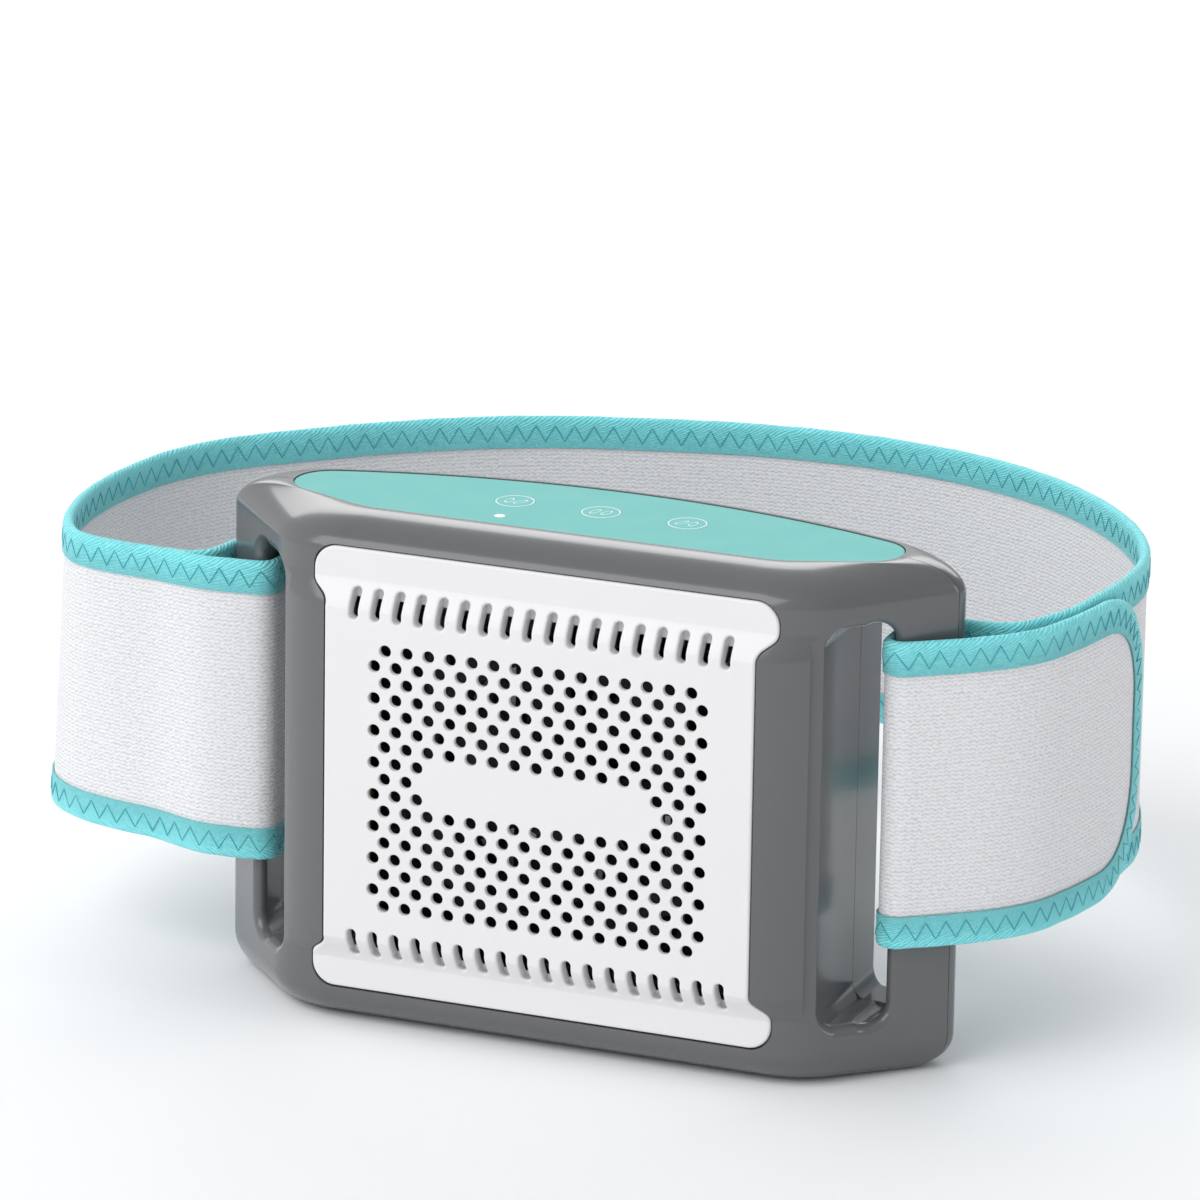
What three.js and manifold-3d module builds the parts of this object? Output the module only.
// Cooling belt device: a grey two-shell housing with a vented front grille, a key panel on top,
// a cold plate at the back and an elastic strap round it. Millimetres, +X right, +Y back, +Z up.
// The origin is on the flat underside, at the middle of the housing.
import * as THREE from 'three';
import { mergeVertices } from 'three/addons/utils/BufferGeometryUtils.js';
import Module from 'manifold-3d';

const wasm = await Module();
wasm.setup();

// Housing, seen from above
const BODY_HEIGHT = 131;
const BODY_HALF_LENGTH = 97.4;
const FRONT_FACE_Y = -29;
const REAR_CROWN_Y = 29;
const SIDE_RUN = 35.4;
const FRONT_FLAT_HALF = BODY_HALF_LENGTH - SIDE_RUN;
const CORNER_FULLNESS = 6;
const SIDE_START = FRONT_FLAT_HALF + CORNER_FULLNESS;
const FRONT_CORNER_RADIUS = 18;
const SIDE_ANGLE = THREE.MathUtils.degToRad(47);
const TIP_RADIUS = 4.5;
const PARTING_Y = 2;
const PARTING_GAP = 0.2;
const WALL = 2.4;

// Rounding of the housing towards its flat top and underside
const TOP_ROUND_HEIGHT = 8;
const BASE_ROUND_HEIGHT = 9;
const FLAT_FRONT_Y = -14;
const FLAT_REAR_Y = 27.2;
const FLAT_CORNER_INSET = 6.5;
const FLAT_FRONT_HALF = FRONT_FLAT_HALF - FLAT_CORNER_INSET;
const FLAT_TIP_INSET = 15.4;
const FLAT_HALF_LENGTH = BODY_HALF_LENGTH - FLAT_TIP_INSET;
const FLAT_SIDE_ANGLE = THREE.MathUtils.degToRad(22.5);
const FLAT_CORNER_RADIUS = 8;
const FLAT_TIP_RADIUS = 11;
const FOOT_FRONT_Y = -16;
const FOOT_CORNER_OUTSET = 4;
const FOOT_FRONT_HALF = FRONT_FLAT_HALF + FOOT_CORNER_OUTSET;
const FOOT_TIP_INSET = 11.4;
const FOOT_HALF_LENGTH = BODY_HALF_LENGTH - FOOT_TIP_INSET;
const FOOT_SIDE_ANGLE = THREE.MathUtils.degToRad(36);
const FOOT_TIP_RADIUS = 9;
const ROUND_STEPS = 4;

// Vent grille
const GRILLE_LIFT = 1.9;
const GRILLE_CENTRE_Z = BODY_HEIGHT / 2 + GRILLE_LIFT;
const GRILLE_BORDER = 8;
const GRILLE_HEIGHT = BODY_HEIGHT - 2 * GRILLE_BORDER;
const GRILLE_RISE = 4;
const GRILLE_SIDE_STEP = 4.57;
const GRILLE_THICKNESS = 2.2;
const GRILLE_CORNER_RADIUS = 6;
const GRILLE_GAP = 0.4;
const GRILLE_PROUD = 0.1;
const BAND_BORDER = 7.5;
const BAND_OUTER_HALF = GRILLE_HEIGHT / 2 - BAND_BORDER;
const BAND_RAMP = 7;
const BAND_INNER_HALF = BAND_OUTER_HALF - BAND_RAMP;
const GRILLE_EDGE_INSET = 0.5;
const HOLE_RADIUS = 1.45;
const HOLE_ROWS = 17;
const LONG_ROW_HOLES = 16;
const HOLE_BORDER_X = 15.6;
const HOLE_BORDER_Z = 9.72;
const HOLE_PITCH_X = 2 * (FRONT_FLAT_HALF - HOLE_BORDER_X) / LONG_ROW_HOLES;
const HOLE_PITCH_Z = 2 * (BAND_INNER_HALF - HOLE_BORDER_Z) / (HOLE_ROWS - 1);
const HOLE_SIDES = 6;
const BLANK_BORDER = 35;
const BLANK_HALF_LENGTH = FRONT_FLAT_HALF - BLANK_BORDER;
const BLANK_STEP = 6;
const BLANK_MIDDLE_HALF_LENGTH = BLANK_HALF_LENGTH + BLANK_STEP;
const VENT_SLOT_COUNT = 18;
const VENT_SLOT_WIDTH = 2.4;
const VENT_SLOT_LENGTH = 7.4;
const VENT_SLOT_BORDER = 5.8;
const VENT_SLOT_HALF_SPREAD = BAND_OUTER_HALF - VENT_SLOT_BORDER;
const VENT_SLOT_FLOOR = 0.4;
const LEDGE_THICKNESS = 2.5;
const WINDOW_BORDER_X = 10;
const WINDOW_BORDER_Z = 2;
const WINDOW_HALF_WIDTH = FRONT_FLAT_HALF - WINDOW_BORDER_X;
const WINDOW_HALF_HEIGHT = BAND_OUTER_HALF - WINDOW_BORDER_Z;

// Strap slots and the bars outside them
const BAR_DEPTH = 13.6;
const SLOT_WIDTH = 12.3;
const SLOT_OUTER_X = BODY_HALF_LENGTH - BAR_DEPTH;
const SLOT_INNER_X = SLOT_OUTER_X - SLOT_WIDTH;
const SLOT_LOW_Z = 15.5;
const SLOT_TOP_BORDER = 13.5;
const SLOT_HIGH_Z = BODY_HEIGHT - SLOT_TOP_BORDER;
const SLOT_CORNER_RADIUS = 4;
const BAR_EDGE_RADIUS = 2;

// Key panel
const PANEL_THICKNESS = 1.8;
const PANEL_DROP = 0.2;
const PANEL_MARGIN = 1;
const PANEL_REAR_MARGIN = 0.9;
const PANEL_GAP = 0.25;
const PANEL_WINDOW_BORDER = 9.5;
const PANEL_WINDOW_HALF = FLAT_FRONT_HALF - PANEL_WINDOW_BORDER;
const PANEL_WINDOW_FRONT_Y = -10;
const PANEL_WINDOW_REAR_Y = 18.6;
const PANEL_SEAT_WALL = 2.3;
const KEY_Y = 7.5;
const KEY_RADIUS = 5.6;
const KEY_GAP = 0.2;
const KEY_PROUD = 0.1;
const KEY_TRAVEL = 0.4;
const KEY_REST_GAP = 0.15;
const KEY_FLANGE_RADIUS = 6.9;
const KEY_FLANGE_THICKNESS = 1.2;
const KEY_STEM_RADIUS = 2;
const LENS_Y = -5.8;
const LENS_RADIUS = 1.5;
const LENS_FLANGE_RADIUS = 2.4;
const LENS_FLANGE_THICKNESS = 1;
const LENS_GAP = 0.15;

// Control board under the panel
const BOARD_THICKNESS = 1.6;
const CONTROL_BOARD_ROOM = 2;
const CONTROL_BOARD_HALF = PANEL_WINDOW_HALF - CONTROL_BOARD_ROOM;
const CONTROL_BOARD_FRONT_Y = -8.5;
const CONTROL_BOARD_REAR_Y = 17;
const CONTROL_BOARD_DEPTH = 12.4;
const CONTROL_BOARD_TOP_Z = BODY_HEIGHT - CONTROL_BOARD_DEPTH;
const POST_RADIUS = 2.4;
const POST_INSET = 4;
const POST_X = CONTROL_BOARD_HALF - POST_INSET;
const KEY_SPREAD_ROOM = 6.2;
const KEY_PITCH = (POST_X + KEY_SPREAD_ROOM) / 2;
const LENS_INSET = 1.4;
const LENS_X = LENS_INSET - KEY_PITCH;
const POST_FRONT_Y = -5;
const POST_REAR_Y = 13.5;
const SEAT_GAP = 0.3;
const SWITCH_SIZE = 6;
const SWITCH_HEIGHT = 3.4;
const PLUNGER_RADIUS = 1.7;
const SWITCH_CLEARANCE = 0.1;
const LAMP_SIZE = 2.8;
const LAMP_HEIGHT = 1.2;
const RIBBON_SOCKET_LENGTH = 12;
const RIBBON_SOCKET_WIDTH = 4;
const RIBBON_SOCKET_HEIGHT = 3;
const RIBBON_SOCKET_INSET = 14;
const RIBBON_SOCKET_X = RIBBON_SOCKET_INSET - CONTROL_BOARD_HALF;
const RIBBON_SOCKET_Y = 4;

// Screws
const SMALL_SCREW_RADIUS = 0.9;
const SMALL_SCREW_HEAD_RADIUS = 1.9;
const SMALL_SCREW_HEAD = 1.4;
const SMALL_SCREW_LENGTH = 6;
const SCREW_RADIUS = 1.4;
const SCREW_HEAD_RADIUS = 2.7;
const SCREW_HEAD = 2;
const SCREW_HOLE_GAP = 0.3;
const SHELL_SCREW_INSET_X = 11.5;
const SHELL_SCREW_INSET_Z = 12.5;
const SHELL_SCREW_X = SLOT_INNER_X - SHELL_SCREW_INSET_X;
const SHELL_SCREW_LOW_Z = SHELL_SCREW_INSET_Z;
const SHELL_SCREW_HIGH_Z = BODY_HEIGHT - SHELL_SCREW_INSET_Z;
const SHELL_SCREW_LENGTH = 22;
const SHELL_SCREW_SEAT_Y = 11;
const SHELL_BOSS_RADIUS = 4.2;

// Cooling stack, from the wearer's side inwards
const SINK_SIDE_ROOM = 23.5;
const SINK_OVERHANG = 6;
const SINK_WIDTH = 2 * (SLOT_INNER_X - SINK_SIDE_ROOM);
const PLATE_WIDTH = SINK_WIDTH - 2 * SINK_OVERHANG;
const PLATE_BORDER = 32.5;
const PLATE_HEIGHT = BODY_HEIGHT - 2 * PLATE_BORDER;
const PLATE_FACE_Y = 31;
const PLATE_CORNER_RADIUS = 5;
const PLATE_FLANGE = 4;
const PLATE_FLANGE_THICKNESS = 1.5;
const PLATE_GAP = 0.4;
const PLATE_CENTRE_Z = BODY_HEIGHT / 2;
const BEZEL_BORDER = 9;
const BEZEL_WIDTH = PLATE_WIDTH + 2 * BEZEL_BORDER;
const BEZEL_HEIGHT = PLATE_HEIGHT + 2 * BEZEL_BORDER;
const BEZEL_FACE_Y = 29.8;
const BEZEL_CORNER_RADIUS = 9;
const SEAL_THICKNESS = 0.8;
const SEAL_GAP = 0.2;
const MODULE_SIZE = 40;
const MODULE_THICKNESS = 3.8;
const MODULE_LEAD_WIDTH = 6;
const STACK_GAP = 0.2;
const INSULATION_OVERHANG = 3;
const INSULATION_WIDTH = PLATE_WIDTH + 2 * INSULATION_OVERHANG;
const INSULATION_HEIGHT = PLATE_HEIGHT + 2 * INSULATION_OVERHANG;
const INSULATION_GAP = 0.4;
const SENSOR_SIZE = 3;
const SINK_HEIGHT = PLATE_HEIGHT + 2 * SINK_OVERHANG;
const SINK_BASE = 4;
const FIN_HEIGHT = 21;
const FIN_THICKNESS = 1.4;
const FIN_COUNT = 9;
const CLAMP_SCREW_INSET = 7;
const CLAMP_SCREW_X = INSULATION_WIDTH / 2 - CLAMP_SCREW_INSET;
const CLAMP_SCREW_HALF_HEIGHT = INSULATION_HEIGHT / 2 - CLAMP_SCREW_INSET;
const FIN_SCREW_ROOM = 14;
const FIN_PITCH = 2 * (CLAMP_SCREW_X - FIN_SCREW_ROOM) / (FIN_COUNT - 1);
const SENSOR_OFFSET = 1;
const SENSOR_X = (MODULE_SIZE / 2 + CLAMP_SCREW_X) / 2 + SENSOR_OFFSET;
const CLAMP_SCREW_BITE = 3;

// Fan
const FAN_BORDER_X = 13;
const FAN_BORDER_Z = 4;
const FAN_SIZE = Math.min(SINK_WIDTH - 2 * FAN_BORDER_X, SINK_HEIGHT - 2 * FAN_BORDER_Z);
const FAN_DEPTH = 15;
const FAN_CORNER_RADIUS = 5;
const FAN_RIM = 1.7;
const FAN_BORE_RADIUS = FAN_SIZE / 2 - FAN_RIM;
const FAN_HOLE_INSET = 4.5;
const FAN_HOLE_SPREAD = FAN_SIZE / 2 - FAN_HOLE_INSET;
const FAN_HUB_RADIUS = 13;
const FAN_HUB_WALL = 1.6;
const FAN_MOTOR_GAP = 0.8;
const FAN_MOTOR_RADIUS = FAN_HUB_RADIUS - FAN_HUB_WALL - FAN_MOTOR_GAP;
const FAN_STRUT_WIDTH = 3;
const FAN_STRUT_DEPTH = 2;
const FAN_STRUT_COUNT = 3;
const FAN_SHAFT_RADIUS = 1.6;
const FAN_SHAFT_GAP = 0.3;
const FAN_RUNNING_GAP = 0.6;
const BLADE_COUNT = 7;
const BLADE_TIP_GAP = 0.9;
const BLADE_TIP_RADIUS = FAN_BORE_RADIUS - BLADE_TIP_GAP;
const BLADE_THICKNESS = 1.4;
const BLADE_CHORD = 12;
const BLADE_PITCH = THREE.MathUtils.degToRad(38);
const BLADE_ROOT_SINK = 1;
const SINK_POST_RADIUS = 3.4;

// Main board, its parts and the power inlet
const MAIN_BOARD_INSET = 9.5;
const MAIN_BOARD_X = MAIN_BOARD_INSET - SLOT_INNER_X;
const MAIN_BOARD_FRONT_Y = -20;
const MAIN_BOARD_REAR_Y = 12;
const MAIN_BOARD_BORDER = 28;
const MAIN_BOARD_LOW_Z = MAIN_BOARD_BORDER;
const MAIN_BOARD_HIGH_Z = BODY_HEIGHT - MAIN_BOARD_BORDER;
const GUIDE_HEIGHT = 6;
const GUIDE_INSET = 8;
const GUIDE_TOP_ROOM = 6;
const GUIDE_LOW_Z = MAIN_BOARD_LOW_Z + GUIDE_INSET;
const GUIDE_HIGH_Z = MAIN_BOARD_HIGH_Z - GUIDE_TOP_ROOM - GUIDE_HEIGHT;
const GUIDE_WALL = 2;
const GUIDE_DEPTH = 9;
const COIL_RADIUS = 5;
const COIL_BORE_RADIUS = 2;
const COIL_HEIGHT = 5;
const COIL_DROP = 13.5;
const COIL_Z = PLATE_CENTRE_Z - COIL_DROP;
const CAPACITOR_RADIUS = 4;
const CAPACITOR_HEIGHT = 9;
const CAPACITOR_LIFT = 4.5;
const CAPACITOR_Z = PLATE_CENTRE_Z + CAPACITOR_LIFT;
const CHIP_SIZE = 7;
const CHIP_HEIGHT = 1.4;
const CHIP_LIFT = 19.5;
const CHIP_Z = PLATE_CENTRE_Z + CHIP_LIFT;
const PART_Y = -4;
const PART_GAP = 0.15;
const INLET_X = -30;
const INLET_Y = 12;
const INLET_WIDTH = 9;
const INLET_DEPTH = 13;
const INLET_HEIGHT = 11;
const INLET_NOSE_RADIUS = 3.6;
const INLET_BORE_RADIUS = 2.8;
const INLET_BORE_DEPTH = 9;
const INLET_RECESS = 0.4;

// Strap
const STRAP_ROOM = 23;
const STRAP_WIDTH = SLOT_HIGH_Z - SLOT_LOW_Z - STRAP_ROOM;
const STRAP_THICKNESS = 1.6;
const STRAP_LEFT_LIFT = 6.7;
const STRAP_RIGHT_LIFT = 8.5;
const STRAP_LEFT_CENTRE_Z = BODY_HEIGHT / 2 + STRAP_LEFT_LIFT;
const STRAP_RIGHT_CENTRE_Z = BODY_HEIGHT / 2 + STRAP_RIGHT_LIFT;
const TAPE_HEIGHT = 8.5;
const TAPE_THICKNESS = 0.4;
const TAPE_PLAY = 0.15;
const TAPE_FOLD = 2;
const STRAP_BAR_GAP = 0.3;
const STRAP_LEFT_OVERHANG = 53.6;
const STRAP_RIGHT_OVERHANG = 21.1;
const STRAP_LEFT_REACH = BODY_HALF_LENGTH + STRAP_LEFT_OVERHANG;
const STRAP_RIGHT_REACH = BODY_HALF_LENGTH + STRAP_RIGHT_OVERHANG;
const STRAP_BACK_REACH = 160;
const STRAP_LOW_EDGE_FLARE = 7;
const LAYER_GAP = 0.5;
const HOOK_PAD_THICKNESS = 0.8;
const HOOK_PAD_MARGIN = 12;
const HOOK_PAD_GAP = 0.15;
const TAB_END_FLAT = 9.5;
const TAB_CORNER_RADIUS = STRAP_WIDTH / 2 - TAB_END_FLAT;
const TAB_HINGE_GAP = 0.3;
const TAB_HINGE_ALONG = 5;
const TAB_ANGLE = THREE.MathUtils.degToRad(37);

// Shared by all cuts and round shapes
const CUT_OVERRUN = 5;
const ROUND_SIDES = 20;
const SMALL_ROUND_SIDES = 8;
const ARC_STEPS = 3;

const plastic = (color, roughness) => new THREE.MeshStandardMaterial({ color, roughness, metalness: 0 });
const metal = (color, roughness) => new THREE.MeshStandardMaterial({ color, roughness, metalness: 1 });
const GREY_ABS = plastic('#77787a', 0.25);
const WHITE_ABS = plastic('#ebeaea', 0.5);
const TEAL_PANEL = plastic('#8fd2ce', 0.35);
const TEAL_TAPE = plastic('#76ced2', 0.85);
const WHITE_WEBBING = plastic('#ececed', 0.95);
const HOOK_NYLON = plastic('#d6d7d8', 0.9);
const LENS_CLEAR = plastic('#f6fbfb', 0.15);
const BLACK_PLASTIC = plastic('#232425', 0.5);
const GREEN_BOARD = plastic('#1f5a3c', 0.6);
const SEAL_SILICONE = plastic('#dcdfe0', 0.7);
const FOAM = plastic('#3b3d3f', 0.95);
const CERAMIC = plastic('#f1efe8', 0.6);
const COPPER_COIL = metal('#a8643a', 0.4);
const ALUMINIUM = metal('#c9cccf', 0.35);
const STEEL = metal('#9a9da1', 0.35);

// Solids and meshes
function toSolid(geometry) {
  const bare = geometry.clone();
  bare.deleteAttribute('normal');
  bare.deleteAttribute('uv');
  const merged = mergeVertices(bare);
  const vertProperties = new Float32Array(merged.attributes.position.array);
  const triVerts = new Uint32Array(merged.index.array);
  return new wasm.Manifold(new wasm.Mesh({ numProp: 3, vertProperties, triVerts }));
}

function toGeometry(solid) {
  const mesh = solid.getMesh();
  const geometry = new THREE.BufferGeometry();
  geometry.setAttribute('position', new THREE.BufferAttribute(mesh.vertProperties, 3));
  geometry.setIndex(new THREE.BufferAttribute(mesh.triVerts, 1));
  return geometry;
}

const joined = (...solids) => solids.reduce((all, one) => all.add(one));
const without = (solid, ...cutters) => cutters.reduce((rest, cutter) => rest.subtract(cutter), solid);

const product = new THREE.Group();

function place(name, form, material) {
  const geometry = form.isBufferGeometry ? form : toGeometry(form);
  const flat = geometry.index ? geometry.toNonIndexed() : geometry;
  flat.computeVertexNormals();
  const mesh = new THREE.Mesh(flat, material);
  mesh.name = name;
  product.add(mesh);
  return mesh;
}

// A loft through rings of equal point count; cap is the section's outline in its own plane
function loft(rings, cap) {
  const count = rings[0].length;
  const corners = rings.flat();
  const faces = [];
  for (let ring = 0; ring < rings.length - 1; ring += 1) {
    for (let side = 0; side < count; side += 1) {
      const a = ring * count + side;
      const b = ring * count + (side + 1) % count;
      faces.push([a, b, b + count], [a, b + count, a + count]);
    }
  }
  const lastRing = (rings.length - 1) * count;
  const clockwise = THREE.ShapeUtils.isClockWise(cap);
  for (const [a, second, third] of THREE.ShapeUtils.triangulateShape(cap, [])) {
    const [b, c] = clockwise ? [third, second] : [second, third];
    faces.push([a, c, b], [lastRing + a, lastRing + b, lastRing + c]);
  }
  const volume = faces.reduce((sum, [a, b, c]) => {
    const normal = new THREE.Vector3().crossVectors(corners[b], corners[c]);
    return sum + corners[a].dot(normal);
  }, 0);
  const turned = volume < 0 ? faces.map(([a, b, c]) => [a, c, b]) : faces;
  const geometry = new THREE.BufferGeometry();
  geometry.setAttribute('position', new THREE.Float32BufferAttribute(corners.flatMap((p) => p.toArray()), 3));
  geometry.setIndex(turned.flat());
  return geometry;
}

// A shape pushed along z, along y with the shape in x and z, or along x with the shape in y and z
function prism(shape, low, high, axis) {
  const settings = { depth: high - low, bevelEnabled: false, curveSegments: ARC_STEPS };
  const geometry = new THREE.ExtrudeGeometry(shape, settings);
  if (axis === 'y') {
    geometry.translate(0, 0, -high);
    geometry.rotateX(Math.PI / 2);
  } else {
    geometry.translate(0, 0, low);
  }
  if (axis === 'x') {
    const xAxis = new THREE.Vector3(1, 0, 0);
    const yAxis = new THREE.Vector3(0, 1, 0);
    const zAxis = new THREE.Vector3(0, 0, 1);
    geometry.applyMatrix4(new THREE.Matrix4().makeBasis(yAxis, zAxis, xAxis));
  }
  return toSolid(geometry);
}

function block(x1, x2, y1, y2, z1, z2) {
  const geometry = new THREE.BoxGeometry(x2 - x1, y2 - y1, z2 - z1);
  geometry.translate((x1 + x2) / 2, (y1 + y2) / 2, (z1 + z2) / 2);
  return toSolid(geometry);
}

// A rod along y or z between two heights on its axis
function rod(radius, x, across, low, high, axis, sides = SMALL_ROUND_SIDES) {
  const geometry = new THREE.CylinderGeometry(radius, radius, high - low, sides);
  if (axis === 'z') {
    geometry.rotateX(Math.PI / 2);
    geometry.translate(x, across, (low + high) / 2);
  } else {
    geometry.translate(x, (low + high) / 2, across);
  }
  return toSolid(geometry);
}

function roundedShape(centreX, centreY, width, height, radius) {
  const right = centreX + width / 2 - radius;
  const left = centreX - width / 2 + radius;
  const top = centreY + height / 2 - radius;
  const bottom = centreY - height / 2 + radius;
  const shape = new THREE.Shape();
  shape.absarc(right, top, radius, 0, Math.PI / 2, false);
  shape.absarc(left, top, radius, Math.PI / 2, Math.PI, false);
  shape.absarc(left, bottom, radius, Math.PI, Math.PI * 1.5, false);
  shape.absarc(right, bottom, radius, Math.PI * 1.5, Math.PI * 2, false);
  return shape;
}

// Turns a profile of radius and height about z or y at a place in the other two directions
function turned(profile, x, across, axis, sides = ROUND_SIDES) {
  const points = profile.map(([radius, height]) => new THREE.Vector2(radius, height));
  const geometry = new THREE.LatheGeometry(points, sides);
  if (axis === 'z') {
    geometry.rotateX(Math.PI / 2);
    geometry.translate(x, across, 0);
  } else {
    geometry.translate(x, 0, across);
  }
  return toSolid(geometry);
}

const mirrored = (points) => [...points, ...points.map((p) => new THREE.Vector2(-p.x, p.y)).reverse()];

// Middle of the round tip where the slanted side meets the rear
function tipMiddle({ frontY, frontHalf, angle, halfLength, tipRadius }) {
  const tipX = halfLength - tipRadius;
  return [tipX, frontY + (tipX - frontHalf) * Math.tan(angle) + tipRadius / Math.cos(angle)];
}

// Radius of the rear arch that runs through its crown and touches the round tip
function archRadius(plan) {
  const [tipX, tipY] = tipMiddle(plan);
  const drop = plan.rearY - tipY;
  return (tipX * tipX + drop * drop - plan.tipRadius * plan.tipRadius) / (2 * (drop - plan.tipRadius));
}

// Plan of the housing: flat front, rounded corner, slanted side, round tip and an arched rear
function planOutline(plan) {
  const { frontY, frontHalf, angle, cornerRadius, tipRadius, rearY } = plan;
  const along = new THREE.Vector2(Math.cos(angle), Math.sin(angle));
  const setback = cornerRadius * Math.tan(angle / 2);
  const corner = new THREE.Vector2(frontHalf, frontY);
  const start = new THREE.Vector2(frontHalf - setback, frontY);
  const end = corner.clone().addScaledVector(along, setback);
  const rounded = new THREE.QuadraticBezierCurve(start, corner, end).getPoints(ARC_STEPS);
  const [tipX, tipY] = tipMiddle(plan);
  const rearRadius = archRadius(plan);
  const rearAngle = Math.atan2(tipY - rearY + rearRadius, tipX);
  const tip = [];
  for (let step = 0; step <= ROUND_STEPS; step += 1) {
    const turn = THREE.MathUtils.lerp(angle - Math.PI / 2, rearAngle, step / ROUND_STEPS);
    tip.push(new THREE.Vector2(tipX + tipRadius * Math.cos(turn), tipY + tipRadius * Math.sin(turn)));
  }
  const rear = [];
  const rearSteps = ROUND_STEPS + ARC_STEPS;
  for (let step = 1; step <= rearSteps; step += 1) {
    const turn = THREE.MathUtils.lerp(rearAngle, Math.PI / 2, step / (rearSteps + 0.5));
    rear.push(new THREE.Vector2(rearRadius * Math.cos(turn), rearY - rearRadius + rearRadius * Math.sin(turn)));
  }
  return mirrored([...rounded, ...tip, ...rear]);
}

const SIDE_SLOPE = Math.tan(SIDE_ANGLE);
const FLAT_REAR_INSET = REAR_CROWN_Y - FLAT_REAR_Y;

function bodySizes(inset, rise) {
  return {
    frontY: FRONT_FACE_Y + inset - rise,
    frontHalf: SIDE_START - inset * Math.tan(SIDE_ANGLE / 2) - rise / SIDE_SLOPE,
    angle: SIDE_ANGLE,
    cornerRadius: FRONT_CORNER_RADIUS,
    halfLength: BODY_HALF_LENGTH - inset,
    tipRadius: TIP_RADIUS - inset / 2,
    rearY: REAR_CROWN_Y - inset,
  };
}

function flatPlan(frontInset, rearInset) {
  return planOutline({
    frontY: FLAT_FRONT_Y + frontInset,
    frontHalf: FLAT_FRONT_HALF,
    angle: FLAT_SIDE_ANGLE,
    cornerRadius: FLAT_CORNER_RADIUS,
    halfLength: FLAT_HALF_LENGTH - frontInset,
    tipRadius: FLAT_TIP_RADIUS - frontInset,
    rearY: FLAT_REAR_Y - rearInset,
  });
}

function footPlan(rearInset) {
  return planOutline({
    frontY: FOOT_FRONT_Y,
    frontHalf: FOOT_FRONT_HALF,
    angle: FOOT_SIDE_ANGLE,
    cornerRadius: FRONT_CORNER_RADIUS,
    halfLength: FOOT_HALF_LENGTH,
    tipRadius: FOOT_TIP_RADIUS,
    rearY: FLAT_REAR_Y - rearInset,
  });
}

// The housing's outer form, or with a wall the space inside it
function bodyForm(wall, rise) {
  const outer = planOutline(bodySizes(wall, 0));
  const raised = planOutline(bodySizes(wall, rise));
  const rearInset = Math.min(wall, FLAT_REAR_INSET);
  const flat = flatPlan(0, rearInset);
  const foot = footPlan(rearInset);
  const rings = [];
  const addRing = (plan, height) => rings.push(plan.map((p) => new THREE.Vector3(p.x, p.y, height)));
  const between = (end, share) => outer.map((p, index) => p.clone().lerp(end[index], share));
  for (let step = ROUND_STEPS; step >= 0; step -= 1) {
    const turn = (step / ROUND_STEPS) * (Math.PI / 2);
    const height = BASE_ROUND_HEIGHT - (BASE_ROUND_HEIGHT - wall) * Math.sin(turn);
    addRing(between(foot, 1 - Math.cos(turn)), height);
  }
  if (rise > 0) {
    addRing(outer, GRILLE_CENTRE_Z - BAND_OUTER_HALF);
    addRing(raised, GRILLE_CENTRE_Z - BAND_INNER_HALF);
    addRing(raised, GRILLE_CENTRE_Z + BAND_INNER_HALF);
    addRing(outer, GRILLE_CENTRE_Z + BAND_OUTER_HALF);
  }
  for (let step = 0; step <= ROUND_STEPS; step += 1) {
    const turn = (step / ROUND_STEPS) * (Math.PI / 2);
    const height = BODY_HEIGHT - TOP_ROUND_HEIGHT + (TOP_ROUND_HEIGHT - wall) * Math.sin(turn);
    addRing(between(flat, 1 - Math.cos(turn)), height);
  }
  return toSolid(loft(rings, outer));
}

// Grille outline: wide where the front is low, narrower where the raised front meets the slanted sides
const GRILLE_WIDE_HALF = FRONT_FLAT_HALF - GRILLE_EDGE_INSET;
const GRILLE_NARROW_HALF = GRILLE_WIDE_HALF - GRILLE_SIDE_STEP;
const GRILLE_FRONT_Y = FRONT_FACE_Y - GRILLE_RISE - GRILLE_PROUD;
const GRILLE_FLANGE_Y = FRONT_FACE_Y - GRILLE_PROUD;
const GRILLE_BACK_Y = GRILLE_FLANGE_Y + GRILLE_THICKNESS;

function grilleOutline(gap) {
  const wide = GRILLE_WIDE_HALF + gap;
  const narrow = GRILLE_NARROW_HALF + gap;
  const top = GRILLE_HEIGHT / 2 + gap;
  const radius = GRILLE_CORNER_RADIUS;
  const corner = new THREE.EllipseCurve(wide - radius, top - radius, radius, radius, Math.PI / 2, 0, true);
  const shoulder = new THREE.CubicBezierCurve(
    new THREE.Vector2(wide, BAND_OUTER_HALF),
    new THREE.Vector2(wide, (BAND_OUTER_HALF + BAND_INNER_HALF) / 2),
    new THREE.Vector2(narrow, (BAND_OUTER_HALF + BAND_INNER_HALF) / 2),
    new THREE.Vector2(narrow, BAND_INNER_HALF),
  );
  const quarter = [...corner.getPoints(ARC_STEPS), ...shoulder.getPoints(ARC_STEPS)];
  const lower = quarter.map((p) => new THREE.Vector2(p.x, -p.y)).reverse();
  return mirrored([...quarter, ...lower]).map((p) => new THREE.Vector2(p.x, p.y + GRILLE_CENTRE_Z));
}

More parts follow.
